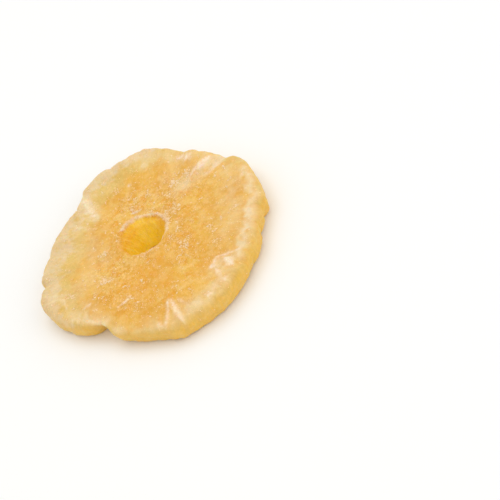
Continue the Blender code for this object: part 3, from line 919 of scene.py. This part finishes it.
def turnMatrices(rng, count, tilt):
    # any turn about the upright axis after a slight one about a level axis, as unit quaternions
    lean = rng.normal(0.0, tilt / 2.0, count)
    spin, heading = rng.uniform(-math.pi, math.pi, (2, count))
    w = np.cos(lean) * np.cos(spin)
    x = np.sin(lean) * np.cos(heading)
    y = np.sin(lean) * np.sin(heading)
    z = np.cos(lean) * np.sin(spin)
    return np.stack([
        np.stack([1 - 2 * (y * y + z * z), 2 * (x * y - z * w), 2 * (x * z + y * w)], -1),
        np.stack([2 * (x * y + z * w), 1 - 2 * (x * x + z * z), 2 * (y * z - x * w)], -1),
        np.stack([2 * (x * z - y * w), 2 * (y * z + x * w), 1 - 2 * (x * x + y * y)], -1),
    ], 1)


# For both kinds: the ranges of a clump's length by its reach, of its width by its length and of
# a crystal's sides, how far crystals are lifted by their size, and the spreads of their tones
grainForm = {"length": (0.6, 1.5), "width": (0.3, 0.9), "sides": (0.6, 1.4),
             "flatness": (1.0, 1.0, 0.6), "lift": -0.03, "clumpTone": 0.3, "memberTone": 0.12}


def scatterGrains(name, settings, density, material):
    # clumps fall on the ring's quads by area times density; each is a stretched cloud of a few
    # crystals in the tangent plane, part sunk into the flesh
    rng = np.random.default_rng(settings["seed"])
    form, clumpCount = grainForm, settings["clumps"]
    nextRay, nextPoint = np.roll(fine, -1, 0), np.roll(fine, -1, 1)
    area = np.linalg.norm(np.cross(nextRay - fine, nextPoint - fine), axis=-1)
    weight = (area * density).ravel()
    chosen = rng.choice(weight.size, clumpCount, p=weight / weight.sum())
    members = rng.geometric(1.0 / settings["members"], clumpCount)
    members = np.minimum(members, settings["mostMembers"])
    long = settings["reach"] * np.sqrt(members) * rng.uniform(*form["length"], clumpCount)
    wide = long * rng.uniform(*form["width"], clumpCount)
    heading = rng.uniform(0.0, math.pi, clumpCount)
    clumpTone = rng.normal(settings["tone"], form["clumpTone"], clumpCount)
    count = int(members.sum())
    ray, point = np.unravel_index(np.repeat(chosen, members), area.shape)
    long, wide = np.repeat(long, members), np.repeat(wide, members)
    heading, clumpTone = np.repeat(heading, members), np.repeat(clumpTone, members)
    alongStep = rng.normal(size=count) * long
    acrossStep = rng.normal(size=count) * wide
    normal = surfaceNormals(fine)[ray, point]
    first = nextRay[ray, point] - fine[ray, point]
    first /= np.linalg.norm(first, axis=1, keepdims=True)
    second = np.cross(normal, first)
    firstStep = alongStep * np.cos(heading) - acrossStep * np.sin(heading)
    secondStep = alongStep * np.sin(heading) + acrossStep * np.cos(heading)
    spot = fine[ray, point] + first * firstStep[:, None] + second * secondStep[:, None]
    size = settings["size"] * np.exp(rng.normal(0.0, settings["spread"], count))
    size = np.clip(size, settings["least"], settings["most"])
    stretch = size[:, None] * rng.uniform(*form["sides"], (count, 3)) * form["flatness"] / 2.0
    corners, faces = crystalShape()
    turns = turnMatrices(rng, count, settings["tilt"])
    shape = np.einsum("nij,nkj->nki", turns, corners[None] * stretch[:, None])
    shape = np.einsum("nki,nij->nkj", shape, np.stack([first, second, normal], 1))
    spot = spot + normal * (size * form["lift"])[:, None]
    vertices = (shape + spot[:, None]).reshape(-1, 3)
    vertices[:, 2] = np.maximum(vertices[:, 2], cadLow.z / mm)
    triangles = (faces[None] + (np.arange(count) * len(corners))[:, None, None]).reshape(-1, 3)
    mesh = newMesh(name, vertices, triangles)
    tone = np.clip(clumpTone + rng.normal(0.0, form["memberTone"], count), 0.0, 1.0)
    addAttribute(mesh, "tone", "FLOAT", np.repeat(tone, len(corners)))
    print(name + ":", len(triangles), "faces")
    newPiece(name, mesh, material)


# Sizes and reach in millimetres; members is the mean number of crystals in a clump
sugarGrains = {
    "seed": 5, "clumps": 700, "members": 4.5, "mostMembers": 14, "reach": 0.11, "size": 0.30,
    "spread": 0.22, "least": 0.20, "most": 0.5, "tilt": 0.35, "tone": 0.48,
}
sugarDust = {
    "seed": 6, "clumps": 3600, "members": 1.3, "mostMembers": 4, "reach": 0.12, "size": 0.23,
    "spread": 0.2, "least": 0.14, "most": 0.34, "tilt": 0.4, "tone": 0.2,
}

# How thick the grains lie: least and gain of the clumps and of the film, on the outer face, on
# the marks round the hole, off the face, and where the clusters are
sugarCoat = {"least": 0.1, "gain": 1.6, "filmPower": 1.5, "outerFace": 0.04, "holeMarks": 1.4,
             "holeMarksReach": 13.0, "offFace": 0.006, "clusters": 5.0}

clumps = smoothStep(-0.2, 1.1, layeredNoise(points, 2.4, 101))
drift = smoothStep(-0.4, 0.9, layeredNoise(points, 9.0, 111, 2))
least, gain = sugarCoat["least"], sugarCoat["gain"]
filmed = least + gain * masks["film"] ** sugarCoat["filmPower"]
coat = masks["core"] * (least + clumps * drift * gain) * filmed + sugarCoat["outerFace"] * onFace
nearHole = np.hypot(points[..., 0], points[..., 1]) < sugarCoat["holeMarksReach"]
coat = coat + sugarCoat["holeMarks"] * masks["white"] * nearHole
coat = (coat * onFace + sugarCoat["offFace"] * (1.0 - onFace)) * (1.0 - masks["wall"])
crystal = sugarCrystal()
clustered = coat + sugarCoat["clusters"] * masks["clusters"]
scatterGrains("sugar_grains", sugarGrains, clustered, crystal)
scatterGrains("sugar_dust", sugarDust, coat, crystal)


# The camera: it looks down on the ring from the front, rolled so that the ring leans as pictured

photoView = {
    "elevation": 41.0, "roll": 33.5, "distance": 0.5, "pixelsPerMetre": 3460.0, "photoSize": 500.0,
    "aimPixel": (153.5, 242.0), "aimPoint": (0.0006, 0.0004, 0.004), "sensor": 36.0,
    "clip": (0.01, 10.0),
}


def makeCamera():
    # the sight line leaves the aim point at aimPixel, and the picture is turned about it by roll
    v = photoView
    up, roll = math.radians(v["elevation"]), math.radians(v["roll"])
    level = Vector((1.0, 0.0, 0.0))
    upright = Vector((0.0, math.sin(up), math.cos(up)))
    towards = Vector((0.0, math.cos(up), -math.sin(up)))
    right = level * math.cos(roll) - upright * math.sin(roll)
    above = level * math.sin(roll) + upright * math.cos(roll)
    focal = v["pixelsPerMetre"] * v["distance"]
    half = v["photoSize"] / 2.0
    across, down = (v["aimPixel"][0] - half) / focal, (v["aimPixel"][1] - half) / focal
    forward = towards - right * across + above * down
    forward.normalize()
    right = (right - forward * right.dot(forward)).normalized()
    above = right.cross(forward)
    place = Vector(v["aimPoint"]) - towards * v["distance"]
    turned = Matrix((right, above, -forward)).transposed()
    camera = bpy.data.cameras.new("camera")
    camera.sensor_width = v["sensor"]
    camera.lens = focal / v["photoSize"] * v["sensor"]
    camera.clip_start, camera.clip_end = v["clip"]
    holder = newObject("camera", camera)
    holder.matrix_world = Matrix.Translation(place) @ turned.to_4x4()
    bpy.context.scene.camera = holder


# Floor and light

studio = {
    "floorSize": 3.0, "skyColour": (1.0, 1.0, 1.0, 1.0), "skyStrength": 0.78,
    "floorFinish": {"Base Color": linearColour(250, 250, 248), "Roughness": 0.9,
                    "Specular IOR Level": 0.1},
    # place, side of the square lamp, power in watts, colour
    "lamps": (
        ((-0.02, 0.16, 0.62), 0.60, 1.17, (1.0, 0.99, 0.97)),
        ((0.40, -0.42, 0.38), 0.50, 0.7, (1.0, 0.99, 0.97)),
    ),
}


def makeFloor():
    half = studio["floorSize"] / 2.0
    mesh = bpy.data.meshes.new("floor")
    corners = [(x * half, y * half, cadLow.z) for x, y in ((-1, -1), (1, -1), (1, 1), (-1, 1))]
    mesh.from_pydata(corners, [], [(0, 1, 2, 3)])
    floor = newObject("floor", mesh)
    material, tree, shader = newMaterial("paleFloor")
    fillSockets(tree, shader, studio["floorFinish"])
    mesh.materials.append(material)


def makeLight():
    for place, side, power, colour in studio["lamps"]:
        lamp = bpy.data.lights.new("softbox", "AREA")
        lamp.size, lamp.energy, lamp.color = side, power, colour
        holder = newObject("softbox", lamp)
        holder.location = place
        holder.rotation_euler = (-Vector(place)).to_track_quat("-Z", "Y").to_euler()
    world = bpy.data.worlds.new("studio")
    world.use_nodes = True
    sky = world.node_tree.nodes["Background"]
    sky.inputs["Color"].default_value = studio["skyColour"]
    sky.inputs["Strength"].default_value = studio["skyStrength"]
    bpy.context.scene.world = world
    bpy.context.scene.view_settings.view_transform = "Standard"


makeCamera()
makeFloor()
makeLight()
print("camera, floor and light")
